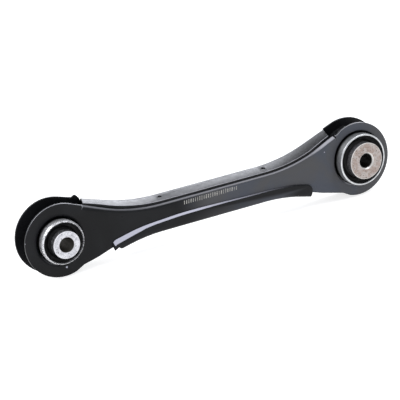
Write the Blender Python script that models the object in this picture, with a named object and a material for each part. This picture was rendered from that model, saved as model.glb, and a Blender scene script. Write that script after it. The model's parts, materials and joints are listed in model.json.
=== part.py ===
"""A two-eyed suspension control arm: two pressed steel shells and two rubber-bonded bushes.

The shells are modelled on the arm's own axes: X runs from the inboard eye to the outboard eye, Y runs
along the bolts, and Z is up, with the inboard eye's centre at (0, 0, 0). One empty then stands the
finished arm on its two lobes, with the middle of its footprint at the world's origin.
"""

import math

import bmesh
import bpy
from mathutils import Matrix, Vector

# Driving dimensions, in metres and degrees.
EYE_SPAN = 0.276
SHEET = 0.002
GAP = 0.0003
WALL_Y = 0.010
BEND = 0.003

# Lobe centres are given from their eye's centre. Each pair is (inboard, outboard).
LOBE_SHIFT = (Vector((0.0007, -0.0002)), Vector((-0.0008, -0.0008)))
REAR_LOBE_R = (0.0306, 0.0328)
FRONT_LOBE_R = (REAR_LOBE_R[0] - SHEET + 0.0009, REAR_LOBE_R[1] - SHEET + 0.0008)
FRONT_TOP_FLARE = (21.6, 26.0)
FRONT_LOW_FLARE = (18.4, 18.0)
REAR_TOP_FLARE = (17.5, 20.0)
REAR_LOW_FLARE = (12.5, 14.0)
WAIST_R = 0.140
REAR_TOP = 0.0102
REAR_LOW = -0.0157
TOP_DRAFT = 0.0009

# Places along the arm are set out from the nearer eye, and the flanges' free edges from the nearer wall.
REAR_FLANGE_X = (0.0285, EYE_SPAN - 0.0215)
REAR_FLANGE_SKEW = (-0.0040, -0.0035)
REAR_FLANGE_Y = (0.0040 - WALL_Y, 0.0015 - WALL_Y, 0.0048 - WALL_Y)
FRONT_FLANGE_X = (0.0225, EYE_SPAN - 0.0215)
FRONT_FLANGE_Y = (0.0035 - WALL_Y, WALL_Y - 0.0050, 0.0035 - WALL_Y)
FLANGE_TAPER_X = ((0.036, 0.048), (EYE_SPAN - 0.051, EYE_SPAN - 0.024))
LAP_EASE = 0.1
NOTCH = 0.0010

# The lip's inboard end leans: its top starts that much nearer the eye than the fold under it does.
LIP_X = (0.0525, EYE_SPAN - 0.0500)
LIP_LEAN = 0.0090
LIP_Y = WALL_Y + GAP + SHEET
LIP_BEND = 0.0032
LIP_HEIGHT = (0.0101, 0.0113, 0.0098, 0.0110)
LIP_HEIGHT_X = ((0.080, 0.108), (0.114, EYE_SPAN - 0.096), (EYE_SPAN - 0.084, EYE_SPAN - 0.060))
LIP_SLOPE = (0.0036, 0.0020, 0.0007)
LIP_SLOPE_X = ((0.050, 0.086), (0.105, EYE_SPAN - 0.111))
LIP_CORNER = 0.0045

EAR_X = (REAR_FLANGE_X[0] - 0.0076, REAR_FLANGE_X[0] - 0.0006)
EAR_HEIGHT = 0.0024

PLUG_X = (0.0924, EYE_SPAN - 0.0871)
PLUG_R = 0.0013
PLUG_RECESS = 0.0004

HOLE_ENTRY = (0.0035, 0.0025)
COLLAR_DEPTH = 0.0062

CAN_R = (0.0177, 0.0222)
CAN_WALL = (0.0015, 0.0016)
BOLT_BORE_R = 0.0061
BORE_CHAMFER = (0.0004, 0.0012)
SLEEVE_END_R = (0.616 * CAN_R[0], 0.703 * CAN_R[1])
SLEEVE_BODY_R = (SLEEVE_END_R[0] - 0.0015, SLEEVE_END_R[1] - 0.0030)
SLEEVE_HALF = (0.0234, 0.0228)
SLEEVE_CHAMFER = 0.0005
SLEEVE_END_LENGTH = 0.0062
SLEEVE_TAPER = 0.0016
CAN_HALF = (0.0177, 0.0178)
CAN_CHAMFER = 0.0005
RING_R = (CAN_R[0] - CAN_WALL[0] - 0.0030, CAN_R[1] - CAN_WALL[1] - 0.0033)
RING_WALL = 0.0010
RING_HALF = 0.0110
RUBBER_RECESS = 0.0028
RUBBER_LIP = 0.0008
RUBBER_COVER = 0.0016

STATION = 0.007
TURN_SEGMENTS = 48
PLUG_SEGMENTS = 16
BEND_STEPS = 3
LOBE_STEP = math.radians(6)
SIDES = ("inboard", "outboard")


def clear_scene():
    for obj in list(bpy.data.objects):
        bpy.data.objects.remove(obj, do_unlink=True)


def material(name, colour, roughness, metallic):
    made = bpy.data.materials.new(name)
    made.use_nodes = True
    shader = made.node_tree.nodes["Principled BSDF"]
    shader.inputs["Base Color"].default_value = (*colour, 1.0)
    shader.inputs["Roughness"].default_value = roughness
    shader.inputs["Metallic"].default_value = metallic
    return made


def smoothstep(low, high, x):
    share = min(max((x - low) / (high - low), 0.0), 1.0)
    return share * share * (3 - 2 * share)


def eye_centre(end):
    return Vector((0.0, 0.0)) if end == 0 else Vector((EYE_SPAN, 0.0))


def lobe_centre(end):
    return eye_centre(end) + LOBE_SHIFT[end]


class Edge:
    """A pressing's upper (side 1) or lower (side -1) outline: lobe, flare, waist fillet and level run."""

    def __init__(self, side, level, radii, flares):
        self.side = side
        self.level = level
        self.radii = radii
        self.flares = [math.radians(flare) for flare in flares]

    def rise(self, end, along):
        """The outline's distance from the lobe's centre line, where along runs from that lobe to the other."""
        radius = self.radii[end]
        flare = self.flares[end]
        level = self.side * (self.level - lobe_centre(end).y)
        if along <= radius * math.sin(flare):
            return math.sqrt(max(radius**2 - along**2, 0.0))
        meet = (radius - math.cos(flare) * level) / math.sin(flare)
        reach = WAIST_R * math.tan(flare / 2)
        if along <= meet - reach * math.cos(flare):
            return (radius - along * math.sin(flare)) / math.cos(flare)
        if along <= meet + reach:
            return level + WAIST_R - math.sqrt(WAIST_R**2 - (meet + reach - along) ** 2)
        return level

    def height(self, x):
        end = 0 if x < EYE_SPAN / 2 else 1
        centre = lobe_centre(end)
        along = x - centre.x if end == 0 else centre.x - x
        return centre.y + self.side * self.rise(end, along)

    def inset(self, x, depth):
        """The point at x, moved depth into the material along the outline's normal."""
        step = 0.0002
        slope = (self.height(x + step) - self.height(x - step)) / (2 * step)
        normal = Vector((-slope, 1.0)).normalized() * self.side
        return Vector((x, self.height(x))) - normal * depth

    def leaves_lobe(self, end):
        """The x at which the flare leaves the lobe's arc."""
        reach = self.radii[end] * math.sin(self.flares[end])
        return lobe_centre(end).x + (reach if end == 0 else -reach)


class LappedEdge(Edge):
    """The front pressing's upper outline, kept clear of the rear flange that laps over it."""

    def height(self, x):
        outside = max(FLANGE_TAPER_X[0][0] - x, x - FLANGE_TAPER_X[1][1], 0.0)
        clear = rear_top_edge.height(x) - LAP_DEPTH + LAP_EASE * outside
        return min(super().height(x), clear)


LAP_DEPTH = TOP_DRAFT + SHEET + GAP
rear_top_edge = Edge(1, REAR_TOP, REAR_LOBE_R, REAR_TOP_FLARE)
front_top_edge = LappedEdge(1, REAR_TOP - LAP_DEPTH, FRONT_LOBE_R, FRONT_TOP_FLARE)
rear_low_edge = Edge(-1, REAR_LOW, REAR_LOBE_R, REAR_LOW_FLARE)
front_low_edge = Edge(-1, REAR_LOW + LIP_BEND + GAP, FRONT_LOBE_R, FRONT_LOW_FLARE)


def stations(start, stop, corner=0.0):
    """Values of x from start to stop, with extra ones inside corner of each end."""
    count = max(2, math.ceil((stop - start) / STATION))
    found = {start + (stop - start) * i / count for i in range(count + 1)}
    if corner:
        for share in (0.12, 0.35, 0.65, 1.0):
            found |= {start + corner * share, stop - corner * share}
    return sorted(found)


def lobe_arc(end, upper, lower):
    """The lobe's outline from its upper flare round the far tip to its lower flare, for the inboard end,
    and from the lower flare round to the upper one for the outboard end."""
    centre = lobe_centre(end)
    radius = upper.radii[end]
    start = math.radians(90) - upper.flares[end]
    stop = math.radians(270) + lower.flares[end]
    count = math.ceil((stop - start) / LOBE_STEP)
    points = []
    for i in range(count + 1):
        angle = start + (stop - start) * i / count
        across = radius * math.cos(angle)
        points.append(centre + Vector((across if end == 0 else -across, radius * math.sin(angle))))
    return points if end == 0 else points[::-1]


class Sheet:
    """A pressing, kept as pairs of points on its outer and inner skins. A point is (x, y, z)."""

    def __init__(self):
        self.outer = []
        self.inner = []
        self.faces = []

    def add(self, outer, inner):
        self.outer.append(outer)
        self.inner.append(inner)
        return len(self.outer) - 1

    def add_wall_point(self, point, wall_y):
        inward = -math.copysign(SHEET, wall_y)
        return self.add((point.x, wall_y, point.y), (point.x, wall_y + inward, point.y))

    def strip(self, columns):
        for near, far in zip(columns, columns[1:]):
            for i in range(len(near) - 1):
                self.faces.append((near[i], near[i + 1], far[i + 1], far[i]))

    def solid(self, name, finish):
        """The closed solid between the two skins."""
        count = len(self.outer)
        edges = {}
        for face in self.faces:
            for a, b in zip(face, face[1:] + face[:1]):
                edges.setdefault(frozenset((a, b)), []).append((a, b))
        faces = [tuple(face) for face in self.faces]
        faces += [tuple(i + count for i in reversed(face)) for face in self.faces]
        for uses in edges.values():
            if len(uses) == 1:
                a, b = uses[0]
                faces.append((b, a, a + count, b + count))
        return solid_object(name, self.outer + self.inner, faces, finish)


def solid_object(name, points, faces, finish, smooth_angle=35):
    mesh = bpy.data.meshes.new(name)
    mesh.from_pydata([tuple(p) for p in points], [], faces)
    shape = bmesh.new()
    shape.from_mesh(mesh)
    bmesh.ops.recalc_face_normals(shape, faces=shape.faces)
    shape.to_mesh(mesh)
    shape.free()
    mesh.shade_smooth()
    mesh.set_sharp_from_angle(angle=math.radians(smooth_angle))
    obj = bpy.data.objects.new(name, mesh)
    bpy.context.scene.collection.objects.link(obj)
    if finish:
        mesh.materials.append(finish)
    return obj


def turned(name, profile, finish):
    """A ring turned about Y through its object's origin, from a closed profile of (radius, y)."""
    points = []
    faces = []
    rings = len(profile)
    for i in range(TURN_SEGMENTS):
        angle = 2 * math.pi * i / TURN_SEGMENTS
        points += [(r * math.cos(angle), y, r * math.sin(angle)) for r, y in profile]
        following = (i + 1) % TURN_SEGMENTS
        for j in range(rings):
            k = (j + 1) % rings
            faces.append((i * rings + j, i * rings + k, following * rings + k, following * rings + j))
    return solid_object(name, points, faces, finish)


def turned_solid(name, profile, finish=None, segments=TURN_SEGMENTS):
    """A solid turned about Y, from an open profile of (radius, y) whose ends are capped."""
    points = []
    faces = []
    rings = len(profile)
    for i in range(segments):
        angle = 2 * math.pi * i / segments
        points += [(r * math.cos(angle), y, r * math.sin(angle)) for r, y in profile]
        following = (i + 1) % segments
        for j in range(rings - 1):
            faces.append((i * rings + j, i * rings + j + 1, following * rings + j + 1, following * rings + j))
    faces.append(tuple(i * rings for i in range(segments)))
    faces.append(tuple(i * rings + rings - 1 for i in reversed(range(segments))))
    return solid_object(name, points, faces, finish)


def as_tool(solid):
    solid.hide_render = True
    solid.display_type = "WIRE"
    return solid


def combine(target, tool, operation):
    step = target.modifiers.new(tool.name, "BOOLEAN")
    step.operation = operation
    step.solver = "EXACT"
    step.object = tool


def bend_columns(sheet, edge, xs, wall_y, first):
    """Columns of a bend that turns the wall's edge inwards. xs gives x for a station and a share of the bend."""
    inward = -math.copysign(1.0, wall_y)
    columns = [first]
    for step in range(1, BEND_STEPS + 1):
        angle = math.pi / 2 * step / BEND_STEPS
        depth = BEND * (1 - math.sin(angle))
        y = wall_y + inward * BEND * (1 - math.cos(angle))
        under = BEND - (BEND - SHEET) * math.sin(angle)
        under_y = wall_y + inward * (BEND - (BEND - SHEET) * math.cos(angle))
        column = []
        for x in xs:
            outer = edge.inset(x, depth)
            inner = edge.inset(x, under)
            column.append(sheet.add((outer.x, y, outer.y), (inner.x, under_y, inner.y)))
        columns.append(column)
    return columns


def blended(values, tapers, x):
    """The value at x, where each taper leads smoothly from one value to the next."""
    found = values[0]
    for taper, low, high in zip(tapers, values, values[1:]):
        found += (high - low) * smoothstep(*taper, x)
    return found


def flange_column(sheet, edge, xs, tips, drop):
    """The flange's free edge. tips gives its y at the inboard end, along the waist and at the outboard end."""
    column = []
    for x in xs:
        y = blended(tips, FLANGE_TAPER_X, x)
        outer = edge.inset(x, drop)
        inner = edge.inset(x, drop + SHEET)
        column.append(sheet.add((outer.x, y, outer.y), (inner.x, y, inner.y)))
    return column


def lip_height(x):
    """The lip's height above the fold's underside, with a rounded corner at each end."""
    full = blended(LIP_HEIGHT, LIP_HEIGHT_X, x)
    from_end = min(x - LIP_X[0] + LIP_LEAN, LIP_X[1] - x)
    if from_end >= LIP_CORNER:
        return full
    return full - LIP_CORNER + math.sqrt(LIP_CORNER**2 - (LIP_CORNER - max(from_end, 0.0)) ** 2)


def lip_slope(x):
    """How far the lip's top falls from its back to its front."""
    return blended(LIP_SLOPE, LIP_SLOPE_X, x)


def leaning(xs, share):
    """The stations xs, spread so that their inboard end stands share of the lip's lean nearer the eye."""
    stretch = share * LIP_LEAN / (xs[-1] - xs[0])
    return [x - (xs[-1] - x) * stretch for x in xs]


def fold_columns(sheet, edge, xs):
    """Columns from the fold's underside round its front bend and up the lip to its sloping top."""
    columns = []
    turn_y = LIP_BEND - LIP_Y
    for step in range(BEND_STEPS + 1):
        angle = math.pi / 2 * step / BEND_STEPS
        depth = LIP_BEND * (1 - math.cos(angle))
        under = LIP_BEND - (LIP_BEND - SHEET) * math.cos(angle)
        column = []
        for x in leaning(xs, math.sin(angle) / 2):
            outer = edge.inset(x, depth)
            inner = edge.inset(x, under)
            column.append(
                sheet.add(
                    (outer.x, turn_y - LIP_BEND * math.sin(angle), outer.y),
                    (inner.x, turn_y - (LIP_BEND - SHEET) * math.sin(angle), inner.y),
                )
            )
        columns.append(column)
    column = []
    for x in leaning(xs, 1.0):
        outer = edge.inset(x, lip_height(x) - lip_slope(x))
        inner = edge.inset(x, lip_height(x))
        column.append(sheet.add((outer.x, -LIP_Y, outer.y), (inner.x, SHEET - LIP_Y, inner.y)))
    columns.append(column)
    return columns


def ear_lift(x):
    """The small rise of the rear wall's edge just outside the flange's inboard end."""
    if not EAR_X[0] < x < EAR_X[1]:
        return 0.0
    return EAR_HEIGHT * math.sin(math.pi * (x - EAR_X[0]) / (EAR_X[1] - EAR_X[0])) ** 2


def plain_run(edge, start, stop, lift=None):
    """Wall points strictly between two values of x, in the order of travel."""
    low, high = min(start, stop), max(start, stop)
    points = []
    for x in stations(low, high)[1:-1]:
        points.append(Vector((x, edge.height(x) + (lift(x) if lift else 0.0))))
    return points if stop > start else points[::-1]


def front_low_point(x):
    """The front wall's lower edge, which also has to stand inside the rear shell's fold."""
    own = front_low_edge.height(x)
    in_fold = rear_low_edge.inset(x, LIP_BEND + GAP).y
    return Vector((x, max(own, in_fold)))


def front_shell(finish):
    sheet = Sheet()
    top = front_top_edge
    low = front_low_edge
    wall = []
    for point in lobe_arc(0, top, low):
        wall.append(sheet.add_wall_point(point, -WALL_Y))
    for x in stations(low.leaves_lobe(0), low.leaves_lobe(1))[1:-1]:
        wall.append(sheet.add_wall_point(front_low_point(x), -WALL_Y))
    for point in lobe_arc(1, top, low):
        wall.append(sheet.add_wall_point(point, -WALL_Y))
    flange_start, flange_stop = FRONT_FLANGE_X
    for point in plain_run(top, top.leaves_lobe(1), flange_stop + NOTCH):
        wall.append(sheet.add_wall_point(point, -WALL_Y))
    notch_edge = Vector((flange_stop + NOTCH, top.height(flange_stop + NOTCH)))
    wall.append(sheet.add_wall_point(notch_edge, -WALL_Y))
    xs = stations(flange_start, flange_stop)
    first = [sheet.add_wall_point(top.inset(x, BEND), -WALL_Y) for x in xs]
    wall += first[::-1]
    notch_edge = Vector((flange_start - NOTCH, top.height(flange_start - NOTCH)))
    wall.append(sheet.add_wall_point(notch_edge, -WALL_Y))
    for point in plain_run(top, flange_start - NOTCH, top.leaves_lobe(0)):
        wall.append(sheet.add_wall_point(point, -WALL_Y))
    sheet.faces.append(tuple(wall))
    columns = bend_columns(sheet, top, xs, -WALL_Y, first)
    columns.append(flange_column(sheet, top, xs, FRONT_FLANGE_Y, 0.0))
    sheet.strip(columns)
    return sheet.solid("front_shell", finish)


def rear_shell(finish):
    sheet = Sheet()
    top = rear_top_edge
    low = rear_low_edge
    wall = []
    for point in lobe_arc(0, top, low):
        wall.append(sheet.add_wall_point(point, WALL_Y))
    lip_start, lip_stop = LIP_X
    for point in plain_run(low, low.leaves_lobe(0), lip_start - NOTCH):
        wall.append(sheet.add_wall_point(point, WALL_Y))
    wall.append(sheet.add_wall_point(low.inset(lip_start - NOTCH, 0.0), WALL_Y))
    low_xs = stations(lip_start, lip_stop, LIP_CORNER)
    low_first = [sheet.add_wall_point(low.inset(x, BEND), WALL_Y) for x in low_xs]
    wall += low_first
    wall.append(sheet.add_wall_point(low.inset(lip_stop + NOTCH, 0.0), WALL_Y))
    for point in plain_run(low, lip_stop + NOTCH, low.leaves_lobe(1)):
        wall.append(sheet.add_wall_point(point, WALL_Y))
    for point in lobe_arc(1, top, low):
        wall.append(sheet.add_wall_point(point, WALL_Y))
    flange_start, flange_stop = REAR_FLANGE_X
    for point in plain_run(top, top.leaves_lobe(1), flange_stop + NOTCH):
        wall.append(sheet.add_wall_point(point, WALL_Y))
    if top.leaves_lobe(1) > flange_stop + NOTCH:
        wall.append(sheet.add_wall_point(top.inset(flange_stop + NOTCH, 0.0), WALL_Y))
    top_xs = stations(flange_start, flange_stop)
    top_first = [sheet.add_wall_point(top.inset(x, BEND), WALL_Y) for x in top_xs]
    wall += top_first[::-1]
    wall.append(sheet.add_wall_point(top.inset(flange_start - NOTCH, 0.0), WALL_Y))
    ear_steps = 6
    for i in range(ear_steps, -1, -1):
        x = EAR_X[0] + (EAR_X[1] - EAR_X[0]) * i / ear_steps
        if top.leaves_lobe(0) < x < flange_start - NOTCH:
            wall.append(sheet.add_wall_point(Vector((x, top.height(x) + ear_lift(x))), WALL_Y))
    sheet.faces.append(tuple(wall))

    columns = bend_columns(sheet, top, top_xs, WALL_Y, top_first)
    near_start, near_stop = flange_start + REAR_FLANGE_SKEW[0], flange_stop + REAR_FLANGE_SKEW[1]
    scale = (near_stop - near_start) / (flange_stop - flange_start)
    skewed = [near_start + (x - flange_start) * scale for x in top_xs]
    columns.append(flange_column(sheet, top, skewed, REAR_FLANGE_Y, TOP_DRAFT))
    sheet.strip(columns)

    columns = bend_columns(sheet, low, low_xs, WALL_Y, low_first)
    columns += fold_columns(sheet, low, low_xs)
    sheet.strip(columns)
    return sheet.solid("rear_shell", finish)


def add_collar(shell, end, wall_y):
    """A plunged collar round the bush's can, and the hole through it with a rounded entry."""
    inward = -math.copysign(1.0, wall_y)
    hole_r = CAN_R[end] + GAP
    entry = HOLE_ENTRY[end]
    name = f"{shell.name}_{SIDES[end]}"
    centre = eye_centre(end)

    def at(depth):
        return wall_y + inward * depth

    boss_r = hole_r + SHEET
    boss = as_tool(turned_solid(f"{name}_boss", [(boss_r, at(SHEET / 2)), (boss_r, at(COLLAR_DEPTH))]))
    profile = [(hole_r + entry, at(-SHEET)), (hole_r + entry, at(0.0))]
    steps = 4
    for i in range(1, steps + 1):
        angle = math.pi / 2 * i / steps
        profile.append((hole_r + entry * (1 - math.sin(angle)), at(entry * (1 - math.cos(angle)))))
    profile.append((hole_r, at(COLLAR_DEPTH + SHEET)))
    cutter = as_tool(turned_solid(f"{name}_hole", profile))
    for tool in (boss, cutter):
        tool.location = (centre.x, 0.0, centre.y)
        tool.parent = shell
    combine(shell, boss, "UNION")
    combine(shell, cutter, "DIFFERENCE")


def flange_top(x, y):
    """The height of the rear top flange's outer face."""
    share = (WALL_Y - BEND - y) / (WALL_Y - BEND - REAR_FLANGE_Y[1])
    return rear_top_edge.height(x) - TOP_DRAFT * share


def plug_weld(end, shell, finish):
    """One plug weld in a round hole in the rear top flange, over the front shell's flange."""
    x = PLUG_X[end]
    low = front_top_edge.height(x) + GAP
    high = flange_top(x, 0.0) - PLUG_RECESS
    standing = Matrix.Rotation(math.radians(90), 4, "X")
    crown = [(PLUG_R, high - 0.35 * PLUG_R), (0.7 * PLUG_R, high - 0.1 * PLUG_R), (0.3 * PLUG_R, high)]
    plug = turned_solid(f"plug_weld_{SIDES[end]}", [(PLUG_R, low)] + crown, finish, PLUG_SEGMENTS)
    hole = [(PLUG_R + GAP, low - GAP / 2), (PLUG_R + GAP, high + SHEET)]
    cutter = as_tool(turned_solid(f"plug_hole_{SIDES[end]}", hole, None, PLUG_SEGMENTS))
    for piece in (plug, cutter):
        piece.data.transform(standing)
        piece.location = (x, 0.0, 0.0)
    cutter.parent = shell
    combine(shell, cutter, "DIFFERENCE")
    return plug


def mirrored(half):
    """A closed profile from its +Y half, which runs from the outer side to the inner side."""
    return half + [(r, -y) for r, y in reversed(half)]


def bush(end, steel, can_steel, ring_steel, rubber):
    """The five pieces of one bush, turned about their own origin."""
    side = SIDES[end]
    half = CAN_HALF[end]
    can_in = CAN_R[end] - CAN_WALL[end]
    cut = CAN_CHAMFER
    can = turned(
        f"{side}_bush_can",
        mirrored(
            [
                (CAN_R[end], half - cut),
                (CAN_R[end] - cut, half),
                (can_in + cut, half),
                (can_in, half - cut),
            ]
        ),
        can_steel,
    )
    long_half = SLEEVE_HALF[end]
    end_r, body_r = SLEEVE_END_R[end], SLEEVE_BODY_R[end]
    shoulder = long_half - SLEEVE_END_LENGTH
    sleeve = turned(
        f"{side}_inner_sleeve",
        mirrored(
            [
                (body_r, shoulder - SLEEVE_TAPER),
                (end_r, shoulder),
                (end_r, long_half - SLEEVE_CHAMFER),
                (end_r - SLEEVE_CHAMFER, long_half),
                (BOLT_BORE_R + BORE_CHAMFER[end], long_half),
                (BOLT_BORE_R, long_half - BORE_CHAMFER[end]),
            ]
        ),
        steel,
    )
    ring_out = RING_R[end]
    ring_in = ring_out - RING_WALL
    ring = turned(
        f"{side}_middle_ring", mirrored([(ring_out, RING_HALF), (ring_in, RING_HALF)]), ring_steel
    )
    # The outer rubber covers the ring's ends. The inner rubber fills the sleeve's waist.
    outer_half = half - RUBBER_RECESS
    cover = RING_HALF + GAP
    outer_rubber = turned(
        f"{side}_outer_rubber",
        mirrored(
            [
                (can_in - GAP, outer_half + RUBBER_LIP),
                (can_in - GAP - RUBBER_LIP, outer_half),
                (ring_out + GAP, cover + RUBBER_COVER),
                (ring_out + GAP, cover),
            ]
        ),
        rubber,
    )
    inner_rubber = turned(
        f"{side}_inner_rubber",
        mirrored(
            [
                (ring_in - GAP, cover),
                (ring_in - GAP, cover + RUBBER_COVER),
                (body_r + GAP, shoulder - SLEEVE_TAPER - GAP),
            ]
        ),
        rubber,
    )
    return can, outer_rubber, ring, inner_rubber, sleeve


def stand_arm():
    """An empty at the inboard eye that leans the arm until both rear lobes touch the ground, centred on
    the world's origin."""
    inner, outer = lobe_centre(0), lobe_centre(1)
    across = (outer - inner).length
    own_slope = math.atan2(outer.y - inner.y, outer.x - inner.x)
    lean = math.asin((REAR_LOBE_R[1] - REAR_LOBE_R[0]) / across) - own_slope
    turn = Matrix.Rotation(lean, 2)
    low_inner, low_outer = turn @ inner, turn @ outer
    left = low_inner.x - REAR_LOBE_R[0]
    right = low_outer.x + REAR_LOBE_R[1]
    stand = bpy.data.objects.new("arm_axes", None)
    bpy.context.scene.collection.objects.link(stand)
    stand.location = (-(left + right) / 2, 0.0, REAR_LOBE_R[0] - low_inner.y)
    stand.rotation_euler = (0.0, -lean, 0.0)
    return stand


def main():
    clear_scene()
    coat = material("black_coat", (0.030, 0.031, 0.035), 0.32, 0.0)
    weld = material("coated_weld", (0.026, 0.026, 0.028), 0.45, 0.0)
    bright = material("plated_steel", (0.62, 0.62, 0.61), 0.34, 1.0)
    bare = material("bare_steel", (0.36, 0.33, 0.31), 0.45, 1.0)
    rolled = material("turned_steel", (0.55, 0.56, 0.57), 0.28, 1.0)
    inside = material("ring_steel", (0.30, 0.30, 0.31), 0.50, 1.0)
    rubber = material("black_rubber", (0.018, 0.018, 0.019), 0.62, 0.0)

    front = front_shell(coat)
    rear = rear_shell(coat)
    for shell, wall_y in ((front, -WALL_Y), (rear, WALL_Y)):
        for end in (0, 1):
            add_collar(shell, end, wall_y)
    stand = stand_arm()
    front.parent = stand
    rear.parent = stand
    for end in (0, 1):
        plug_weld(end, rear, weld).parent = stand
        axis = bpy.data.objects.new(f"{SIDES[end]}_bolt_axis", None)
        bpy.context.scene.collection.objects.link(axis)
        axis.location = (eye_centre(end).x, 0.0, eye_centre(end).y)
        axis.parent = stand
        for piece in bush(end, (bright, bare)[end], rolled, inside, rubber):
            piece.parent = axis


main()
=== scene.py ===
import json
import math
import random

import bmesh
import bpy
from mathutils import Matrix, Vector


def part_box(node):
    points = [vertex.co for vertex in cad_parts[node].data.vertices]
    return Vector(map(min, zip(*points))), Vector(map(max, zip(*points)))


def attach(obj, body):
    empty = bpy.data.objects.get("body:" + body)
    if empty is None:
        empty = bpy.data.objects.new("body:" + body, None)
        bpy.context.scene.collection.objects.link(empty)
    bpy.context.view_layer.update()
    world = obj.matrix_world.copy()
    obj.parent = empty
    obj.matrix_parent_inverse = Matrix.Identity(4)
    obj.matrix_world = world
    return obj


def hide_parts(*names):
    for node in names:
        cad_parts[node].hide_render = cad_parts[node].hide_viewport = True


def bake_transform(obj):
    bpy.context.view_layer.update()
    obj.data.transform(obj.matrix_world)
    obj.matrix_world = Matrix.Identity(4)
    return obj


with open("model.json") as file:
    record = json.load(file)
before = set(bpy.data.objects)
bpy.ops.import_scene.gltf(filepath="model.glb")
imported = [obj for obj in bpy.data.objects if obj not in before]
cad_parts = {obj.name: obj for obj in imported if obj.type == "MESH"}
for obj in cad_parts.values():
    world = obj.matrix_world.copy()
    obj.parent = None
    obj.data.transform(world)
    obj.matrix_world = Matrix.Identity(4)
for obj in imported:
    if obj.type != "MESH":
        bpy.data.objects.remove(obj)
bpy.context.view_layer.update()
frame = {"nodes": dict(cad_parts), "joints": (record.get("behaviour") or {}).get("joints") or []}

# The arm's own axes: X runs from the inboard eye to the outboard eye, Y along the bolts, Z up.
SIDES = ("inboard", "outboard")
JOINT_AT = {joint["name"]: Vector(joint["pos_m"]) for joint in frame["joints"]}
EYE = {side: JOINT_AT[f"{side}_twist"] for side in SIDES}
ALONG = (EYE["outboard"] - EYE["inboard"]).normalized()
BOLT = Vector((0.0, 1.0, 0.0))
UP = ALONG.cross(BOLT)
ARM = Matrix((ALONG, BOLT, UP)).transposed().to_4x4()
ARM.translation = EYE["inboard"]

# The camera, on the arm's axes, in metres.
CAMERA_AT = Vector((-0.3640, -1.0015, 0.3680))
CAMERA_RIGHT = Vector((0.87518, -0.47089, -0.11102))
CAMERA_UP = Vector((0.24287, 0.22916, 0.94260))
CAMERA_AHEAD = Vector((0.41842, 0.85191, -0.31492))
LENS = 130.28
SENSOR = 36.0

# Each softbox: its direction on the arm's axes, distance, size, radiance and colour.
SOFTBOXES = {
    "overhead_softbox": ((0.42, -0.42, 0.80), 1.8, (0.45, 0.60), 11.0, (0.95, 0.96, 1.0)),
    "left_softbox": ((-0.61, 0.08, 0.72), 1.6, (0.8, 0.8), 7.5, (1.0, 1.0, 1.0)),
    "back_softbox": ((0.45, 0.88, 0.15), 1.8, (0.9, 0.95), 3.6, (0.90, 0.92, 1.0)),
}
SKY_COLOUR = (0.94, 0.965, 1.0)
SKY_STRENGTH = 0.72
FLOOR_RADIUS = 9.0
FLOOR_TONES = ((0.50, 0.50, 0.50), (0.48, 0.48, 0.485))
FLOOR_GLOW = 0.78

# Sizes are in metres from here on. How doubled points are joined, flat faces made whole and edges rounded.
JOIN = 0.00002
FLAT_WITHIN = math.radians(0.4)
EDGE_ROUND = 0.00035
EDGE_ANGLE = math.radians(40)
MERGE = 1e-6

# Each can's outer cut, as a step in and a run along its side, and the fillets round it.
CAN_CUT = {"inboard": (0.0009, 0.0019), "outboard": (0.0006, 0.0006)}
CAN_FILLET = 0.0003
CAN_BORE_FILLET = 0.0006

# The sleeve: how far its waist is cut in, its wide end and that end's taper, fillets and chamfer.
SLEEVE_BODY_STEP = {"inboard": 0.0015, "outboard": 0.0030}
SLEEVE_END_LENGTH = 0.0062
SLEEVE_TAPER = 0.0016
SLEEVE_WAIST_FILLET = 0.0008
SLEEVE_SHOULDER_FILLET = 0.0006
SLEEVE_FILLET = 0.00045
BORE_CHAMFER = {"inboard": 0.0004, "outboard": 0.0012}
BORE_FILLET = 0.00015
TURN_FACETS = 128
FILLET_STEPS = 4
# The most of a side that one fillet may take.
FILLET_SHARE = 0.85

# The rubber: the skin's thickness, its lap on the sleeve and its height over the middle ring.
RUBBER_SKIN = 0.0005
RUBBER_LAP = 0.00025
RUBBER_OVER_RING = 0.0019
# Its rolled edge at the can, as a gap to the can, a step in and a step down.
RUBBER_ROLL = (0.0001, 0.0005, 0.0008)
RUBBER_RING_RISE = 0.0003
# Its dish beside the sleeve: a share of the way in from the ring, the rise there, and the turn at the foot.
RUBBER_DISH = (0.3, 0.0006)
RUBBER_FOOT = (0.0007, 0.0006)

# The plug welds' dents: how many, how deep, and how wide as a share of the weld's radius.
DENTS = 7
DENT_DEPTH = 0.00018
DENT_WIDTH = 0.35
# Where a dent lies, as a share of that radius, and the share of the full depth that it has.
DENT_OUT = (0.2, 0.9)
DENT_SIZE = (0.4, 1.0)
WELD_CUTS = 3

# The printed ticks, on the arm's axes: their row, their number, their size and how they lean.
TICK_ROW_X = (0.1090, 0.1570)
TICK_ROW_Z = (0.0030, 0.0032)
TICKS = 25
TICK_SIZE = {"Height": 0.0038, "Width": 0.00055, "Thickness": 0.00004}
TICK_LEAN = math.radians(8)
TICK_SEED = 11
TICK_SINK = 0.00001
# The least and the most that a tick's width, thickness and height are multiplied by.
TICK_SCALE = ((0.7, 1.0, 0.75), (1.6, 1.0, 1.0))

# World x over which the front wall's coat gets a painted reflection, lighter towards the outboard end.
PAINTED_REFLECTION_X = (-0.038, -0.004)

# Chips in the coat: a place on the arm's axes and a size.
CHIPS = (
    ((-0.0288, -0.010, 0.0048), 0.0009),
    ((0.0022, -0.010, -0.0225), 0.0011),
    ((0.2433, -0.010, 0.0129), 0.0005),
)

# Whatever of the rear pressing is in front of this Y, on the arm's axes, is the lip.
LIP_FRONT = -0.0098
# How a face has to point, on the arm's axes: to the front, square to the front, and up, level or down.
FRONTWARD = -0.2
SQUARE_ON = -0.95
BEND_UP = 0.3
LIP_TOP_UP = 0.35
LIP_FACE_UP = 0.2
LIP_FACE_DOWN = -0.2
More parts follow.
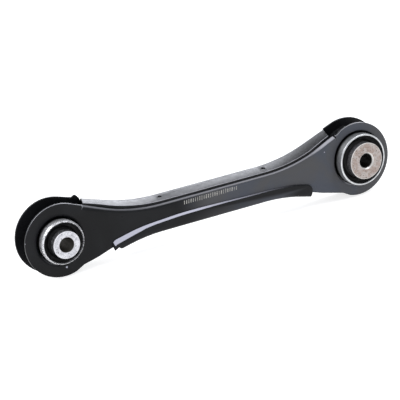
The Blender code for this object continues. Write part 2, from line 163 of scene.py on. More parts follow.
# Where along the arm the lip's pale top, a painted highlight over worn steel, fades out.
LIP_HIGHLIGHT_X = (0.120, 0.215)
# The band of Y in which the rear pressing's edges are rubbed.
REAR_EDGE_Y = (-0.0095, -0.0040)
# How strong the painted reflection on the lower part of the lip's face gets, and where along the arm that
# starts and stops.
LIP_PAINTED_REFLECTION = 0.7
LIP_PAINTED_REFLECTION_X = ((0.130, 0.188), (0.196, 0.212))
# The painted highlight line along the front pressing's upper bend: its distance behind the wall and its half
# width.
BEND_CREST = 0.0015
CREST_HALF_WIDTH = 0.6 * BEND_CREST
# Where along the arm that line comes to full strength, and its share before that.
CREST_X = (0.060, 0.110)
CREST_SHARE = 0.5
# Where along the arm the whole bend is painted pale beside the outboard lobe, as a painted highlight, and by
# how much.
TAB_X = (0.226, 0.246)
TAB_SHARE = 0.8

# How fine each effect's noise is, in cells per metre, and the swell under a grain as a share of its fineness.
TOOL_NOISE = 600.0
RUB_NOISE = 160.0
DUST_NOISE = 420.0
CHIP_NOISE = 1400.0
SWELL_SHARE = 0.16

# The coat's roughness over its grain, as the grain's span and the roughness over it, and its bump.
COAT_GLOSS = (0.6, 1.8, 0.27, 0.37)
COAT_BUMP = (0.00004, 0.6)
DUST_ROUGHNESS = 0.9
BARE_ROUGHNESS = 0.55
BARE_METALLIC = 0.12

# A turned steel's stain and nicks, what they add to its roughness, and the height of its rings.
STAIN = {"Size": 0.0034, "Threshold": 0.5, "Softness": 0.12}
NICKS = {"Size": 0.0009, "Softness": 0.03}
STAIN_ROUGHNESS = 0.06
NICK_ROUGHNESS = 0.25
NICK_DEPTH = 1.5
RING_HEIGHT = 0.00002
CAN_PITCH = 0.00045
# The sleeve's: its rings' pitch and roughness, its nicks' threshold, how metallic it is, its side's flecks.
SLEEVE_PITCH = 0.0004
SLEEVE_ROUGHNESS = (0.40, 0.52)
SLEEVE_NICKS = 0.61
SLEEVE_METALLIC = 0.8
SLEEVE_FLECKS = {"Size": 0.0008, "Threshold": 0.60, "Softness": 0.04}
FLECK_SHARE = 0.5

# Distances from the arm's middle over which a painted shade on a can's root, beside the wall, fades from black
# to the steel's own colour.
CAN_ROOT_SHADE = (0.0096, 0.0126)

# Where a sleeve's finishes change: at its bore's chamfer, its rim, its face, its side and its bore.
CUT_EDGE = (-0.0001, 0.0002)
RIM_EDGE = (-0.0006, -0.0003)
FACE_EDGE = (-0.0007, -0.0003)
SIDE_EDGE = (0.0, 0.0004)
BORE_EDGE = (0.0002, 0.0004)
BORE_SHADE_DEPTH = 0.0010
BORE_SHADE_START = 0.4

# The coat's colours, as (red, green, blue): black, a painted reflection, dust, rubbed edge with a painted
# highlight, and bare steel with a painted highlight.
COAT_BLACK = ((0.0050, 0.0052, 0.0060), (0.0080, 0.0084, 0.0098))
COAT_PAINTED_REFLECTION = ((0.066, 0.066, 0.070), (0.058, 0.064, 0.080))
COAT_DUST = (0.10, 0.105, 0.12)
COAT_RUBBED_AND_HIGHLIGHT = (0.42, 0.42, 0.46)
COAT_BARE_AND_HIGHLIGHT = (0.46, 0.46, 0.54)
CAN_ROOT_SHADE_COLOUR = (0.012, 0.012, 0.013)
WELD_COLOURS = ((0.0040, 0.0040, 0.0045), (0.30, 0.30, 0.32))
RING_COLOURS = ((0.30, 0.30, 0.31), (0.18, 0.17, 0.16))
RUBBER_COLOURS = ((0.0075, 0.0075, 0.008), (0.022, 0.022, 0.023))
INK_COLOURS = ((0.44, 0.43, 0.40), (0.17, 0.165, 0.155))

# Colours of a turned steel: its body, its stain and its nicks.
BRIGHT = ((0.90, 0.90, 0.92), (0.70, 0.70, 0.72), (0.14, 0.14, 0.15))
DULL = ((0.66, 0.67, 0.68), (0.52, 0.53, 0.54), (0.20, 0.20, 0.20))
PLATED = ((0.66, 0.66, 0.69), (0.52, 0.52, 0.55), (0.22, 0.22, 0.23))
BROWNED = ((0.43, 0.39, 0.37), (0.35, 0.28, 0.25), (0.20, 0.17, 0.15))

# A mix node's sockets: its share, its two colours and their blend.
MIX_SHARE, MIX_FIRST, MIX_SECOND, MIX_BLEND = 0, 6, 7, 2


class Wiring:
    """Adds nodes to one tree and joins them up. A value may be a number, a tuple or another node's output."""

    def __init__(self, tree):
        self.tree = tree

    def node(self, kind, **settings):
        made = self.tree.nodes.new(kind)
        for key, value in settings.items():
            setattr(made, key, value)
        return made

    def feed(self, socket, value):
        if isinstance(value, bpy.types.NodeSocket):
            self.tree.links.new(value, socket)
        else:
            socket.default_value = value

    def feed_all(self, sockets, **values):
        for name, value in values.items():
            self.feed(sockets[name.replace("_", " ")], value)

    def math(self, operation, first, second=None, third=None):
        made = self.node("ShaderNodeMath", operation=operation)
        for socket, value in zip(made.inputs, (first, second, third)):
            if value is not None:
                self.feed(socket, value)
        return made.outputs[0]

    def vector(self, operation, first, second=None):
        made = self.node("ShaderNodeVectorMath", operation=operation)
        self.feed(made.inputs[0], first)
        if second is not None:
            self.feed(made.inputs[1], second)
        return made.outputs["Value"] if operation in ("LENGTH", "DISTANCE") else made.outputs["Vector"]

    def remap(self, value, low, high, to_low=0.0, to_high=1.0):
        made = self.node("ShaderNodeMapRange", interpolation_type="SMOOTHSTEP")
        self.feed_all(made.inputs, Value=value, From_Min=low, From_Max=high, To_Min=to_low, To_Max=to_high)
        return made.outputs["Result"]

    def rises(self, value, at, edge):
        return self.remap(value, at + edge[0], at + edge[1])

    def falls(self, value, at, edge):
        return self.remap(value, at + edge[0], at + edge[1], 1.0, 0.0)

    def noise(self, vector, scale, detail=3.0, distortion=0.0):
        made = self.node("ShaderNodeTexNoise")
        self.feed_all(made.inputs, Vector=vector, Scale=scale, Detail=detail, Distortion=distortion)
        return made.outputs["Fac"]

    def mix(self, share, first, second):
        made = self.node("ShaderNodeMix", data_type="RGBA")
        self.feed(made.inputs[MIX_SHARE], share)
        for place, colour in ((MIX_FIRST, first), (MIX_SECOND, second)):
            self.feed(made.inputs[place], (*colour, 1.0) if isinstance(colour, tuple) else colour)
        return made.outputs[MIX_BLEND]

    def split(self, vector):
        made = self.node("ShaderNodeSeparateXYZ")
        self.feed(made.inputs[0], vector)
        return made.outputs

    def join(self, x, y, z):
        made = self.node("ShaderNodeCombineXYZ")
        self.feed_all(made.inputs, X=x, Y=y, Z=z)
        return made.outputs[0]

    def point(self):
        """The surface point, in metres."""
        return self.node("ShaderNodeTexCoord").outputs["Object"]

    def upward(self):
        """How far the surface faces up, from -1 to 1."""
        return self.split(self.node("ShaderNodeNewGeometry").outputs["Normal"])["Z"]

    def mark(self, name):
        """A value that the mesh carries, corner by corner."""
        return self.node("ShaderNodeAttribute", attribute_type="GEOMETRY", attribute_name=name).outputs["Fac"]

    def about(self, centre):
        """The surface point's offset from centre, its distance from that bolt axis and its place along it."""
        offset = self.vector("SUBTRACT", self.point(), centre)
        radius = self.vector("LENGTH", self.vector("MULTIPLY", offset, (1.0, 0.0, 1.0)))
        return offset, radius, self.split(offset)["Y"]

    def effect(self, group, **values):
        made = self.node("ShaderNodeGroup", node_tree=group)
        self.feed_all(made.inputs, **values)
        return made.outputs[0]


# ---- Effects that several finishes share -------------------------------------------------------


def new_effect(name, output, **inputs):
    """An empty shader group with its inputs and one output. Returns its wiring, inlet and outlet."""
    tree = bpy.data.node_groups.new(name, "ShaderNodeTree")
    for label, kind in inputs.items():
        tree.interface.new_socket(label, in_out="INPUT", socket_type=f"NodeSocket{kind}")
    tree.interface.new_socket(output, in_out="OUTPUT", socket_type="NodeSocketFloat")
    wires = Wiring(tree)
    return wires, wires.node("NodeGroupInput").outputs, wires.node("NodeGroupOutput").inputs[0]


def grain_effect():
    """Fine unevenness: a noise of the given grain size, in metres, with a coarser swell under it."""
    wires, inlet, outlet = new_effect("surface_grain", "Height", Grain="Float", Swell="Float")
    point = wires.point()
    fine = wires.noise(point, wires.math("DIVIDE", 1.0, inlet["Grain"]), 2.0)
    broad = wires.noise(point, wires.math("DIVIDE", SWELL_SHARE, inlet["Grain"]), 1.0)
    wires.feed(outlet, wires.math("MULTIPLY_ADD", broad, inlet["Swell"], fine))
    return wires.tree


def blotch_effect():
    """Soft-edged patches: 1 where the noise passes Threshold."""
    wires, inlet, outlet = new_effect("blotches", "Mask", Size="Float", Threshold="Float", Softness="Float")
    noise = wires.noise(wires.point(), wires.math("DIVIDE", 1.0, inlet["Size"]), 5.0, 0.6)
    low = wires.math("SUBTRACT", inlet["Threshold"], inlet["Softness"])
    high = wires.math("ADD", inlet["Threshold"], inlet["Softness"])
    wires.feed(outlet, wires.remap(noise, low, high))
    return wires.tree


def turning_effect():
    """Fine rings left by a lathe tool, centred on a bolt axis through Centre."""
    wires, inlet, outlet = new_effect("turning_rings", "Height", Centre="Vector", Pitch="Float")
    offset, across, along = wires.about(inlet["Centre"])
    wander = wires.math("MULTIPLY", wires.noise(offset, TOOL_NOISE, 1.0), inlet["Pitch"])
    travel = wires.math("ADD", wires.math("ADD", across, along), wander)
    phase = wires.math("DIVIDE", travel, inlet["Pitch"])
    wave = wires.math("SINE", wires.math("MULTIPLY", phase, 2 * math.pi))
    wires.feed(outlet, wires.math("MULTIPLY_ADD", wave, 0.5, 0.5))
    return wires.tree


def worn_edge_and_highlight_effect():
    """Where a rounded edge has lost its coat, and the painted highlight along the front pressing's upper bend:
    most on edges that face up, broken up by a noise.
    """
    wires, inlet, outlet = new_effect("worn_edges", "Mask", Amount="Float", Raggedness="Float")
    facing = wires.remap(wires.upward(), 0.1, 0.7)
    noise = wires.noise(wires.point(), RUB_NOISE, 4.0)
    broken = wires.math("MULTIPLY_ADD", wires.math("SUBTRACT", noise, 0.5), inlet["Raggedness"], facing)
    worn = wires.math("MULTIPLY", wires.remap(broken, 0.2, 0.8), wires.mark("edge"))
    wires.feed(outlet, wires.math("MULTIPLY", worn, inlet["Amount"]))
    return wires.tree


def dust_effect():
    """A light film on what faces up, thinned by a noise."""
    wires, inlet, outlet = new_effect("settled_dust", "Mask", Amount="Float")
    facing = wires.remap(wires.upward(), 0.0, 1.0)
    specks = wires.remap(wires.noise(wires.point(), DUST_NOISE, 6.0), 0.42, 0.66)
    wires.feed(outlet, wires.math("MULTIPLY", wires.math("MULTIPLY", facing, specks), inlet["Amount"]))
    return wires.tree


def chip_effect():
    """One ragged chip of the given size round Centre."""
    wires, inlet, outlet = new_effect("chip", "Mask", Centre="Vector", Size="Float")
    point = wires.point()
    away = wires.math("DIVIDE", wires.vector("DISTANCE", point, inlet["Centre"]), inlet["Size"])
    ragged = wires.math("ADD", away, wires.math("MULTIPLY", wires.noise(point, CHIP_NOISE, 2.0), 1.2))
    wires.feed(outlet, wires.remap(ragged, 1.0, 1.5, 1.0, 0.0))
    return wires.tree


GRAIN = grain_effect()
BLOTCH = blotch_effect()
TURNING = turning_effect()
WORN_EDGE_AND_HIGHLIGHT = worn_edge_and_highlight_effect()
DUST = dust_effect()
CHIP = chip_effect()


# ---- Finishes ----------------------------------------------------------------------------------


def new_finish(name, metallic=0.0, specular=0.5):
    made = bpy.data.materials.new(name)
    made.use_nodes = True
    shader = made.node_tree.nodes["Principled BSDF"]
    shader.inputs["Metallic"].default_value = metallic
    shader.inputs["Specular IOR Level"].default_value = specular
    return made, Wiring(made.node_tree), shader.inputs


def raise_surface(wires, sockets, height, distance, strength=1.0):
    bump = wires.node("ShaderNodeBump")
    wires.feed_all(bump.inputs, Strength=strength, Distance=distance, Height=height)
    wires.feed(sockets["Normal"], bump.outputs["Normal"])


def dipped_coat():
    """Semi-gloss black dip coat over the pressings, with a painted reflection on the front wall and the lip's
    face, a painted highlight along the front pressing's upper bend, and the lip's sheared top painted pale as a
    highlight over worn steel.
    """
    made, wires, sockets = new_finish("dipped_black_coat", specular=0.15)
    patches = wires.effect(BLOTCH, Size=0.030, Threshold=0.52, Softness=0.16)
    # Painted reflection: the front wall and the lower part of the lip's face are painted lighter, most towards
    # the outboard end.
    outboard = wires.remap(wires.split(wires.point())["X"], *PAINTED_REFLECTION_X)
    haze = wires.math("MULTIPLY", wires.mark("haze"), outboard)
    with_painted_reflection = wires.mix(haze, wires.mix(patches, *COAT_BLACK), wires.mix(patches, *COAT_PAINTED_REFLECTION))
    dust = wires.effect(DUST, Amount=0.12)
    dusty = wires.mix(dust, with_painted_reflection, COAT_DUST)
    # Rubbed edges, with the painted highlight along the front pressing's upper bend.
    scuffed_and_highlit = wires.mix(wires.effect(WORN_EDGE_AND_HIGHLIGHT, Amount=0.8, Raggedness=0.9), dusty, COAT_RUBBED_AND_HIGHLIGHT)
    # Bare steel at the chips, and the painted highlight on the lip's top.
    bare = wires.mark("bare")
    for place, size in CHIPS:
        bare = wires.math("MAXIMUM", bare, wires.effect(CHIP, Centre=ARM @ Vector(place), Size=size))
    fine = wires.effect(GRAIN, Grain=0.0007, Swell=1.6)
    dusted = wires.math("MULTIPLY", dust, DUST_ROUGHNESS)
    stripped = wires.math("MULTIPLY", bare, BARE_ROUGHNESS)
    dull = wires.math("MAXIMUM", dusted, stripped)
    wires.feed_all(
        sockets,
        Base_Color=wires.mix(bare, scuffed_and_highlit, COAT_BARE_AND_HIGHLIGHT),
        Metallic=wires.math("MULTIPLY", bare, BARE_METALLIC),
        Roughness=wires.math("MAXIMUM", wires.remap(fine, *COAT_GLOSS), dull),
    )
    raise_surface(wires, sockets, fine, *COAT_BUMP)
    return made


def grained(name, colours, patches, grain, roughness, bump, metallic=0.0, specular=0.5):
    """A finish of two colours in patches of (size, threshold, softness) over a grain of (size, swell).
    roughness is the grain's span and the roughness over it, bump is a distance and a strength."""
    made, wires, sockets = new_finish(name, metallic, specular)
    size, threshold, softness = patches
    patched = wires.effect(BLOTCH, Size=size, Threshold=threshold, Softness=softness)
    fine = wires.effect(GRAIN, Grain=grain[0], Swell=grain[1])
    wires.feed_all(sockets, Base_Color=wires.mix(patched, *colours), Roughness=wires.remap(fine, *roughness))
    raise_surface(wires, sockets, fine, *bump)
    return made


def turned_steel(name, side, colours, roughness, pitch, nicks, metallic):
    """Lathe-turned steel round one eye, with stain and nicks. Its colours are body, stain and nick."""
    made, wires, sockets = new_finish(name, metallic)
    rings = wires.effect(TURNING, Centre=EYE[side], Pitch=pitch)
    stain = wires.effect(BLOTCH, **STAIN)
    pits = wires.effect(BLOTCH, Threshold=nicks, **NICKS)
    body, stained, nick = colours
    marked = wires.mix(pits, wires.mix(stain, body, stained), nick)
    dull = wires.math("MULTIPLY_ADD", pits, NICK_ROUGHNESS, wires.remap(rings, 0.0, 1.0, *roughness))
    wires.feed(sockets["Roughness"], wires.math("MULTIPLY_ADD", stain, STAIN_ROUGHNESS, dull))
    height = wires.math("SUBTRACT", rings, wires.math("MULTIPLY", pits, NICK_DEPTH))
    raise_surface(wires, sockets, height, RING_HEIGHT)
    return made, wires, sockets, marked


def can_steel(side, colours, roughness, nicks, metallic):
    """The can's steel, with a painted shade darkening its root beside the wall."""
    made, wires, sockets, body = turned_steel(
        f"{side}_turned_steel", side, colours, roughness, CAN_PITCH, nicks, metallic)
    out = wires.math("ABSOLUTE", wires.split(wires.point())["Y"])
    # Painted shade: the can's root, next to the wall, is darkened towards black.
    root_shade = wires.falls(out, 0.0, CAN_ROOT_SHADE)
    wires.feed(sockets["Base Color"], wires.mix(root_shade, body, CAN_ROOT_SHADE_COLOUR))
    return made


def sleeve_steel(side, colours, bright, side_colour, bore_colour):
    """The sleeve's steel: a dark bore, a brighter cut at the bore's and the rim's edge, and a dull side."""
    made, wires, sockets, body = turned_steel(
        f"{side}_sleeve_steel", side, colours, SLEEVE_ROUGHNESS, SLEEVE_PITCH, SLEEVE_NICKS, SLEEVE_METALLIC)
    bore, end_r, half = reach(f"{side}_inner_sleeve", side)
    radius, along = wires.about(EYE[side])[1:]
    out = wires.math("ABSOLUTE", along)
    chamfer = BORE_CHAMFER[side]
    cut = wires.falls(radius, bore + chamfer, CUT_EDGE)
    lit = wires.mix(wires.math("MAXIMUM", cut, wires.rises(radius, end_r, RIM_EDGE)), body, bright)
    beside = wires.falls(out, half, FACE_EDGE)
    aside = wires.math("MULTIPLY", beside, wires.rises(radius, bore + chamfer, SIDE_EDGE))
    flecks = wires.effect(BLOTCH, **SLEEVE_FLECKS)
    covered = wires.math("MULTIPLY", aside, wires.math("MULTIPLY_ADD", flecks, -FLECK_SHARE, 1.0))
    sided = wires.mix(covered, lit, side_colour)
    inside = wires.falls(out, half - BORE_SHADE_START * chamfer, (-BORE_SHADE_DEPTH, 0.0))
    deep = wires.math("MULTIPLY", inside, wires.falls(radius, bore, BORE_EDGE))
    wires.feed(sockets["Base Color"], wires.mix(deep, sided, bore_colour))
    return made


def studio_floor():
    made, wires, sockets = new_finish("studio_floor", specular=0.2)
    tone = wires.effect(BLOTCH, Size=0.8, Threshold=0.5, Softness=0.3)
    wires.feed_all(
        sockets,
        Base_Color=wires.mix(tone, *FLOOR_TONES),
        Roughness=0.85,
        Emission_Color=(1.0, 1.0, 1.0, 1.0),
        Emission_Strength=FLOOR_GLOW,
    )
    return made


def reach(node, side):
    """A turned CAD node's smallest and largest radius and its half length, about its eye."""
    offsets = [v.co - EYE[side] for v in frame["nodes"][node].data.vertices]
    radii = [math.hypot(offset.x, offset.z) for offset in offsets]
    return min(radii), max(radii), max(abs(offset.y) for offset in offsets)


COAT = dipped_coat()
WELD = grained("coated_weld", WELD_COLOURS, (0.0009, 0.62, 0.05), (0.0006, 0.8),
               (0.4, 1.3, 0.35, 0.6), (0.00015, 1.0), specular=0.42)
RING_STEEL = grained("ring_steel", RING_COLOURS, (0.004, 0.5, 0.2), (0.0004, 0.8),
                     (0.4, 1.3, 0.42, 0.6), (0.00003, 1.0), metallic=1.0)
RUBBER = grained("moulded_rubber", RUBBER_COLOURS, (0.005, 0.6, 0.12), (0.0005, 1.0),
                 (0.4, 1.5, 0.48, 0.7), (0.00006, 0.7), specular=0.26)
INK = grained("marking_ink", INK_COLOURS, (0.0008, 0.5, 0.15), (0.0003, 0.4),
              (0.2, 1.1, 0.55, 0.75), (0.00001, 1.0), specular=0.3)
CAN_STEEL = {
    "inboard": can_steel("inboard", BRIGHT, (0.34, 0.46), 0.57, 0.9),
    "outboard": can_steel("outboard", DULL, (0.32, 0.42), 0.70, 0.95),
}
SLEEVE_STEEL = {
    "inboard": sleeve_steel("inboard", PLATED, (0.74, 0.74, 0.77), (0.07, 0.07, 0.075), (0.16, 0.15, 0.13)),
    "outboard": sleeve_steel("outboard", BROWNED, (0.66, 0.64, 0.62), (0.09, 0.09, 0.10), (0.03, 0.028, 0.026)),
}


# ---- Shapes ------------------------------------------------------------------------------------


def new_object(name, mesh):
    made = bpy.data.objects.new(name, mesh)
    bpy.context.scene.collection.objects.link(made)
    return made


def paint(mesh, finish):
    mesh.materials.clear()
    mesh.materials.append(finish)


def settle(obj, finish=None):
    """Applies the object's modifiers, leaving a plain mesh."""
    graph = bpy.context.evaluated_depsgraph_get()
    evaluated = obj.evaluated_get(graph)
    mesh = bpy.data.meshes.new_from_object(evaluated, preserve_all_data_layers=True, depsgraph=graph)
    obj.modifiers.clear()
    obj.data = mesh
    mesh.name = obj.name
    if finish:
        paint(mesh, finish)
    return obj


def joined_copy(node, name):
    """A new object from a CAD node, with its loose triangles joined and its flat faces made whole."""
    source = frame["nodes"][node].data
    mesh = bpy.data.meshes.new(name)
    mesh.from_pydata([v.co for v in source.vertices], [], [tuple(p.vertices) for p in source.polygons])
    shape = bmesh.new()
    shape.from_mesh(mesh)
    bmesh.ops.remove_doubles(shape, verts=shape.verts, dist=JOIN)
    bmesh.ops.dissolve_degenerate(shape, edges=shape.edges, dist=JOIN)
    bmesh.ops.dissolve_limit(shape, verts=shape.verts, edges=shape.edges, angle_limit=FLAT_WITHIN)
    shape.to_mesh(mesh)
    shape.free()
    return new_object(name, mesh)


def smoothstep(low, high, x):
    share = min(max((x - low) / (high - low), 0.0), 1.0)
    return share * share * (3 - 2 * share)


def mark_edges(obj):
    """Marks the rounded edges and the painted highlight on the front pressing's upper bend, the lip's sheared
    top with its painted highlight, and the painted reflection on the front wall and the lip's face, corner by
    corner.
    """
    mesh = obj.data
    into_arm = ARM.inverted()
    turn_into_arm = into_arm.to_3x3()
    lip = obj.name.startswith("rear")
    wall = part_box("front_shell")[0].y
    marks = ("edge", "bare", "haze")
    for name in marks:
        mesh.attributes.new(name, "FLOAT", "CORNER")
    edge, bare, haze = (mesh.attributes[name] for name in marks)
    for face in mesh.polygons:
        centre = into_arm @ face.center
        normal = turn_into_arm @ face.normal
        on_edge = face.material_index == 1
        wear = float(on_edge and (not lip or REAR_EDGE_Y[0] < centre.y < REAR_EDGE_Y[1]))
        on_bend = not lip and not on_edge and normal.y < FRONTWARD and normal.z > BEND_UP
        on_lip = lip and not on_edge and centre.y < LIP_FRONT
        on_lip_face = on_lip and normal.y < FRONTWARD and normal.z < LIP_FACE_UP
        on_lip_top = on_lip and normal.z > LIP_TOP_UP
        for corner in face.loop_indices:
            point = into_arm @ mesh.vertices[mesh.loops[corner].vertex_index].co
            edge.data[corner].value = wear
            # Painted highlight on the front pressing's upper bend: a pale line along its crest, and the whole
            # bend pale beside the outboard lobe.
            if on_bend:
                line = max(1.0 - abs(point.y - wall - BEND_CREST) / CREST_HALF_WIDTH, 0.0)
                line *= CREST_SHARE + (1.0 - CREST_SHARE) * smoothstep(*CREST_X, point.x)
                edge.data[corner].value = max(line, TAB_SHARE * smoothstep(*TAB_X, point.x))
            # Painted highlight: the lip's sheared top is painted pale, as worn steel, fading out along the arm.
            if on_lip_top:
                bare.data[corner].value = 1.0 - smoothstep(*LIP_HIGHLIGHT_X, point.x)
            # Painted reflection on the lower part of the lip's face.
            if on_lip_face and (normal.z < LIP_FACE_DOWN or point.z < centre.z):
                rise, fall = LIP_PAINTED_REFLECTION_X
                reflection_share = smoothstep(*rise, point.x) * (1.0 - smoothstep(*fall, point.x))
                haze.data[corner].value = LIP_PAINTED_REFLECTION * reflection_share
            # Painted reflection over the whole front wall.
            if not lip and normal.y < SQUARE_ON:
                haze.data[corner].value = 1.0
        face.material_index = 0


def pressing(node, name):
    """A pressing with its sheared edges rounded."""
    obj = joined_copy(node, name)
    soften = obj.modifiers.new("sheared_edges", "BEVEL")
    soften.width = EDGE_ROUND
    soften.segments = 2
    soften.limit_method = "ANGLE"
    soften.angle_limit = EDGE_ANGLE
    soften.use_clamp_overlap = False
    soften.harden_normals = True
    # The rounded edges come out in the second slot, so that mark_edges can find them.
    soften.material = 1
    obj.data.materials.append(COAT)
    obj.data.materials.append(COAT)
    obj.data.shade_smooth()
    settle(obj)
    mark_edges(obj)
    paint(obj.data, COAT)
    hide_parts(node)
    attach(obj, "arm")


def new_shape(name, output, **inputs):
    """An empty geometry tree. Returns its inputs' identifiers, its wiring and its inlet."""
    tree = bpy.data.node_groups.new(name, "GeometryNodeTree")
    sockets = {}
    for label, kind in inputs.items():
        made = tree.interface.new_socket(label, in_out="INPUT", socket_type=f"NodeSocket{kind}")
        sockets[label] = made.identifier
    tree.interface.new_socket(output, in_out="OUTPUT", socket_type="NodeSocketGeometry")
    wires = Wiring(tree)
    return sockets, wires, wires.node("NodeGroupInput").outputs


def send_out(wires, geometry, finish):
    """Makes the geometry real, gives it its finish and sends it out of the tree."""
    real = wires.node("GeometryNodeRealizeInstances")
    wires.feed(real.inputs[0], geometry)
    painted = wires.node("GeometryNodeSetMaterial")
    wires.feed_all(painted.inputs, Geometry=real.outputs[0], Material=finish)
    wires.feed(wires.node("NodeGroupOutput").inputs[0], painted.outputs[0])


def turning_tree():
    """Geometry nodes that sweep the object's own closed profile of (radius, y, 0) about a bolt axis."""
    sockets, wires, inlet = new_shape(
        "turned_piece", "Piece",
        Profile="Geometry", Corners="Int", Facets="Int", Centre="Vector", Finish="Material")
    rows = wires.math("ADD", inlet["Corners"], 1.0)
    grid = wires.node("GeometryNodeMeshGrid")
    wires.feed_all(grid.inputs, Vertices_X=wires.math("ADD", inlet["Facets"], 1.0), Vertices_Y=rows)
    index = wires.node("GeometryNodeInputIndex").outputs[0]
    column = wires.math("FLOOR", wires.math("DIVIDE", wires.math("ADD", index, 0.5), rows))
    row = wires.math("SUBTRACT", index, wires.math("MULTIPLY", column, rows))
    sample = wires.node("GeometryNodeSampleIndex", data_type="FLOAT_VECTOR", domain="POINT")
    wires.feed_all(
        sample.inputs,
        Geometry=inlet["Profile"],
        Value=wires.node("GeometryNodeInputPosition").outputs[0],
        Index=wires.math("MODULO", row, inlet["Corners"]),
    )
    corner = wires.split(sample.outputs[0])
    angle = wires.math("MULTIPLY", wires.math("DIVIDE", column, inlet["Facets"]), 2 * math.pi)
    across = wires.math("MULTIPLY", corner["X"], wires.math("COSINE", angle))
    up = wires.math("MULTIPLY", corner["X"], wires.math("SINE", angle))
    place = wires.vector("ADD", wires.join(across, corner["Y"], up), inlet["Centre"])
    shift = wires.node("GeometryNodeSetPosition")
    wires.feed_all(shift.inputs, Geometry=grid.outputs["Mesh"], Position=place)
    merge = wires.node("GeometryNodeMergeByDistance")
    wires.feed_all(merge.inputs, Geometry=shift.outputs["Geometry"], Distance=MERGE)
    send_out(wires, merge.outputs[0], inlet["Finish"])
    return wires.tree, sockets


TURNED, TURNED_SOCKETS = turning_tree()


def rounded(corners):
    """A closed profile in which each (radius, y, fillet) corner becomes a short arc."""
    points = []
    for i, (x, y, fillet) in enumerate(corners):
        here = Vector((x, y))
        before = Vector(corners[i - 1][:2]) - here
        after = Vector(corners[(i + 1) % len(corners)][:2]) - here
        first = here + before.normalized() * min(fillet, before.length * FILLET_SHARE)
        last = here + after.normalized() * min(fillet, after.length * FILLET_SHARE)
        for step in range(FILLET_STEPS + 1):
            t = step / FILLET_STEPS
            points.append(first * (1 - t) ** 2 + here * (2 * t * (1 - t)) + last * t ** 2)
    return points


def outward(mesh, smooth=True):
    """Joins the mesh's doubled points and turns its faces outwards."""
    shape = bmesh.new()
    shape.from_mesh(mesh)
    bmesh.ops.remove_doubles(shape, verts=shape.verts, dist=MERGE)
    bmesh.ops.recalc_face_normals(shape, faces=shape.faces)
    for face in shape.faces:
        face.smooth = smooth
    shape.to_mesh(mesh)
    shape.free()


def grow(name, points, tree, sockets, values, finish):
    """An object whose mesh comes from a geometry tree, fed with its points and the named values."""
    mesh = bpy.data.meshes.new(name)
    mesh.from_pydata(points, [], [])
    obj = new_object(name, mesh)
    growth = obj.modifiers.new("growth", "NODES")
    growth.node_group = tree
    for label, value in values.items():
        growth[sockets[label]] = value
    return settle(obj, finish)


def turn(name, side, profile, finish):
    """A piece turned about one eye's bolt axis."""
    values = {"Corners": len(profile), "Facets": TURN_FACETS, "Centre": EYE[side], "Finish": finish}
    obj = grow(name, [(p.x, p.y, 0.0) for p in profile], TURNED, TURNED_SOCKETS, values, finish)
    outward(obj.data)
    flats = obj.modifiers.new("flats", "WEIGHTED_NORMAL")
    flats.keep_sharp = True
    return settle(obj)


def mirrored(half):
    return half + [(r, -y, fillet) for r, y, fillet in reversed(half)]


def bush_can(side):
    inner, outer, half = reach(f"{side}_bush_can", side)
    step_in, run = CAN_CUT[side]
    profile = mirrored([
        (outer, half - run, CAN_FILLET),
        (outer - step_in, half, CAN_FILLET),
        (inner, half, CAN_BORE_FILLET),
    ])
    obj = turn(f"{side}_can", side, rounded(profile), CAN_STEEL[side])
    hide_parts(f"{side}_bush_can")
    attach(obj, "arm")


def waist(side):
    """The sleeve's radius at its waist, and how far out its wide end starts."""
    end_r, half = reach(f"{side}_inner_sleeve", side)[1:]
    return end_r - SLEEVE_BODY_STEP[side], half - SLEEVE_END_LENGTH


def inner_sleeve(side):
    bore, end_r, half = reach(f"{side}_inner_sleeve", side)
    body_r, shoulder = waist(side)
    chamfer = BORE_CHAMFER[side]
    profile = mirrored([
        (body_r, shoulder - SLEEVE_TAPER, SLEEVE_WAIST_FILLET),
        (end_r, shoulder, SLEEVE_SHOULDER_FILLET),
        (end_r, half, SLEEVE_FILLET),
        (bore + chamfer, half, BORE_FILLET),
        (bore, half - chamfer, BORE_FILLET),
    ])
    obj = turn(f"{side}_sleeve_tube", side, rounded(profile), SLEEVE_STEEL[side])
    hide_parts(f"{side}_inner_sleeve")
    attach(obj, f"{side}_sleeve")


def rubber_ring(name, side, face, line, follows, replaced=None):
    """One dished ring of rubber. line is its outer face, as (radius, distance out), and its back lies
    behind each point at the same distance out, so that both bend alike. follows gives two distances
    out and only sets where the back lies: at a larger radius when the first is the greater, else smaller."""
    behind = RUBBER_SKIN if follows[0] > follows[1] else -RUBBER_SKIN
    back = [(r + behind, out) for r, out in reversed(line)]
    profile = [Vector((r, face * out)) for r, out in line + back]
    obj = turn(name, side, profile, RUBBER)
    if replaced:
        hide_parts(replaced)
    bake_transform(obj)


